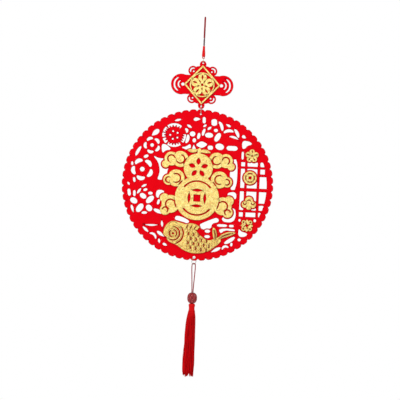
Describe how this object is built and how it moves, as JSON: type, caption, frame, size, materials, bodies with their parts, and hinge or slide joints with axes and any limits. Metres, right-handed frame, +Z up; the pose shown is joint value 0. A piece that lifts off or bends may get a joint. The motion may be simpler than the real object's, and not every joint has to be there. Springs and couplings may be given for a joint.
{
  "type": "felt openwork hanging with tassel",
  "caption": "Hanging ornament: a knot-shaped felt plate and a round openwork felt disc with gold felt figures, joined by small rings, with a carved bead and a thread tassel below.",
  "frame": {"origin": "top of the hanging loop, where a hook or nail would carry it", "axes": "+Z up along the hanging line, +X to the right seen from the front, the front faces -Y"},
  "size_m": [0.301, 0.0216, 0.7162],
  "materials": {
    "red_felt": "bright red craft felt",
    "gold_felt": "gold glitter felt",
    "dark_cord": "dark red twisted cord",
    "red_satin": "red rayon thread",
    "gold_metal": "pale polished",
    "clear_line": "clear",
    "dark_bead": "carved, glossy dark red"
  },
  "bodies": {
    "root": {"hang_cord": "dark_cord", "wrap_knot": "dark_cord", "sleeve": "red_satin", "gold_ring": "gold_metal", "knot_plate": "red_felt", "diamond_gold": "gold_felt", "thread_link": "clear_line", "disc": "red_felt", "centre_gold": "gold_felt", "carp_gold": "gold_felt", "ornament_1": "gold_felt", "ornament_2": "gold_felt", "ornament_3": "gold_felt", "ornament_4": "gold_felt", "clear_ring": "clear_line", "tassel_cord": "dark_cord", "bead": "dark_bead", "tassel": "red_satin"}
  },
  "joints": []
}
